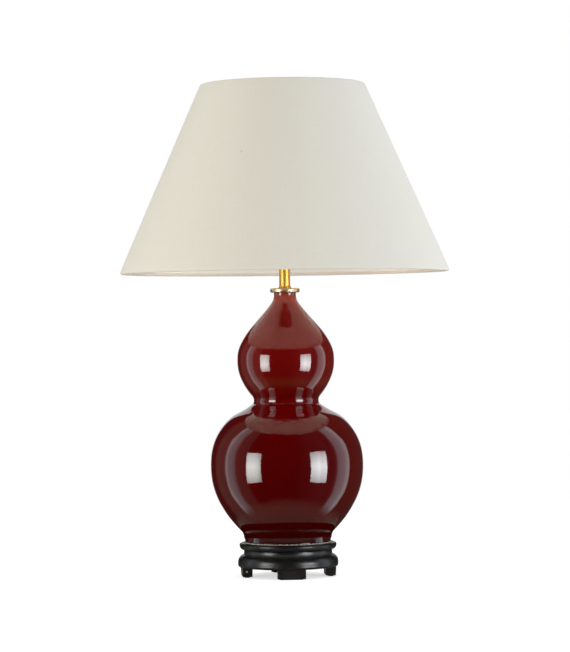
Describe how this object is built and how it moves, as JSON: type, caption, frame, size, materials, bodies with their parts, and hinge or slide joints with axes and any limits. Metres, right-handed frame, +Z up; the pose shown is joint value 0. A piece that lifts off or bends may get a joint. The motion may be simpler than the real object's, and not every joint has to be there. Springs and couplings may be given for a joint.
{
  "type": "table lamp",
  "caption": "Table lamp: glazed double gourd vase on a turned wood stand with block feet, brass neck, lampholder with rotary switch, harp, and tapered fabric shade on a spider.",
  "frame": {"origin": "on the table, under the lamp's axis, at the underside of the foot pads", "axes": "+Z up along the lamp's axis, -Y towards the front with the switch knob, +X to the viewer's right"},
  "size_m": [0.457, 0.457, 0.6832],
  "materials": {
    "ebonised_wood": "black stained hardwood, satin, slightly rubbed on its edges",
    "dowel_wood": "plain beech",
    "hardboard": "smooth brown hardboard",
    "felt": "black felt",
    "zinc_steel": "bright zinc",
    "brass": "polished, lacquered",
    "pale_brass": "polished pale brass",
    "harp_brass": "brass plated steel wire",
    "black_plastic": "moulded black phenolic",
    "rubber": "black rubber",
    "oxblood_glaze": "deep oxblood glaze, high gloss, over fired stoneware; opaque",
    "card": "brown insulating card",
    "white_wire": "white coated wire",
    "styrene": "white backing sheet",
    "ivory_cloth": "fine plain weave, ivory",
    "solder": "dull solder",
    "black_glass": "black cap glass",
    "cap_metal": "drawn thin metal",
    "opal_glass": "opal frosted",
    "clear_glass": "clear",
    "tungsten": "drawn wire"
  },
  "bodies": {
    "lamp_base": {"stand_plinth": "ebonised_wood", "stand_foot_front": "ebonised_wood", "stand_foot_right": "ebonised_wood", "stand_foot_back": "ebonised_wood", "stand_foot_left": "ebonised_wood", "foot_pad_front": "felt", "foot_pad_right": "felt", "foot_pad_back": "felt", "foot_pad_left": "felt", "foot_dowels": "dowel_wood", "base_cover": "hardboard", "base_cover_screws": "zinc_steel", "cord_bush": "black_plastic", "stand_gasket": "felt", "gourd_lower": "oxblood_glaze", "gourd_upper": "oxblood_glaze", "threaded_rod": "zinc_steel", "rod_washer": "zinc_steel", "earth_tag": "brass", "rod_lock_washer": "zinc_steel", "rod_nut": "zinc_steel", "rod_end_bush": "black_plastic", "neck_seal": "rubber", "vase_cap": "pale_brass", "neck_collar": "brass", "neck_tube": "brass", "harp_saddle": "harp_brass", "harp_wire": "harp_brass", "holder_cap": "brass", "holder_set_screw": "zinc_steel", "holder_shell": "brass", "holder_liner": "card", "holder_core": "black_plastic", "terminal_screws": "brass", "screw_shell": "brass"},
    "switch": {"switch_spindle": "brass", "switch_knob": "black_plastic"},
    "shade": {"harp_stud": "brass", "finial": "brass", "spider_hub": "harp_brass", "spider_arm_1": "harp_brass", "spider_arm_2": "harp_brass", "spider_arm_3": "harp_brass", "shade_top_ring": "white_wire", "shade_bottom_ring": "white_wire", "shade_liner": "styrene", "shade_cover": "ivory_cloth"},
    "ferrule_left": {"harp_ferrule_left": "brass"},
    "ferrule_right": {"harp_ferrule_right": "brass"},
    "contact": {"centre_contact": "brass"},
    "bulb": {"bulb_tip": "solder", "bulb_insulator": "black_glass", "bulb_cap": "cap_metal", "bulb_glass": "opal_glass", "bulb_stem": "clear_glass", "bulb_filament": "tungsten"}
  },
  "joints": [
    {"name": "switch_turn", "type": "hinge", "parent": "lamp_base", "child": "switch", "pos_m": [0, -0.0195, 0.46655], "axis": [0, -1, 0], "continuous": true},
    {"name": "shade_turn", "type": "hinge", "parent": "lamp_base", "child": "shade", "pos_m": [0, 0, 0.66], "axis": [0, 0, 1], "continuous": true},
    {"name": "ferrule_left_lift", "type": "slide", "parent": "lamp_base", "child": "ferrule_left", "axis": [0, 0, 1], "range_m": [0, 0.009]},
    {"name": "ferrule_right_lift", "type": "slide", "parent": "lamp_base", "child": "ferrule_right", "axis": [0, 0, 1], "range_m": [0, 0.009]},
    {"name": "contact_lift", "type": "slide", "parent": "lamp_base", "child": "contact", "axis": [0, 0, 1], "range_m": [0, 0.0018]},
    {"name": "bulb_turn", "type": "hinge", "parent": "contact", "child": "bulb", "pos_m": [0, 0, 0.4766], "axis": [0, 0, 1], "range_deg": [0, 178]}
  ],
  "couplings": [
    {"joint": "contact_lift", "follows": "bulb_turn", "m_per_rad": 0.0005776}
  ]
}
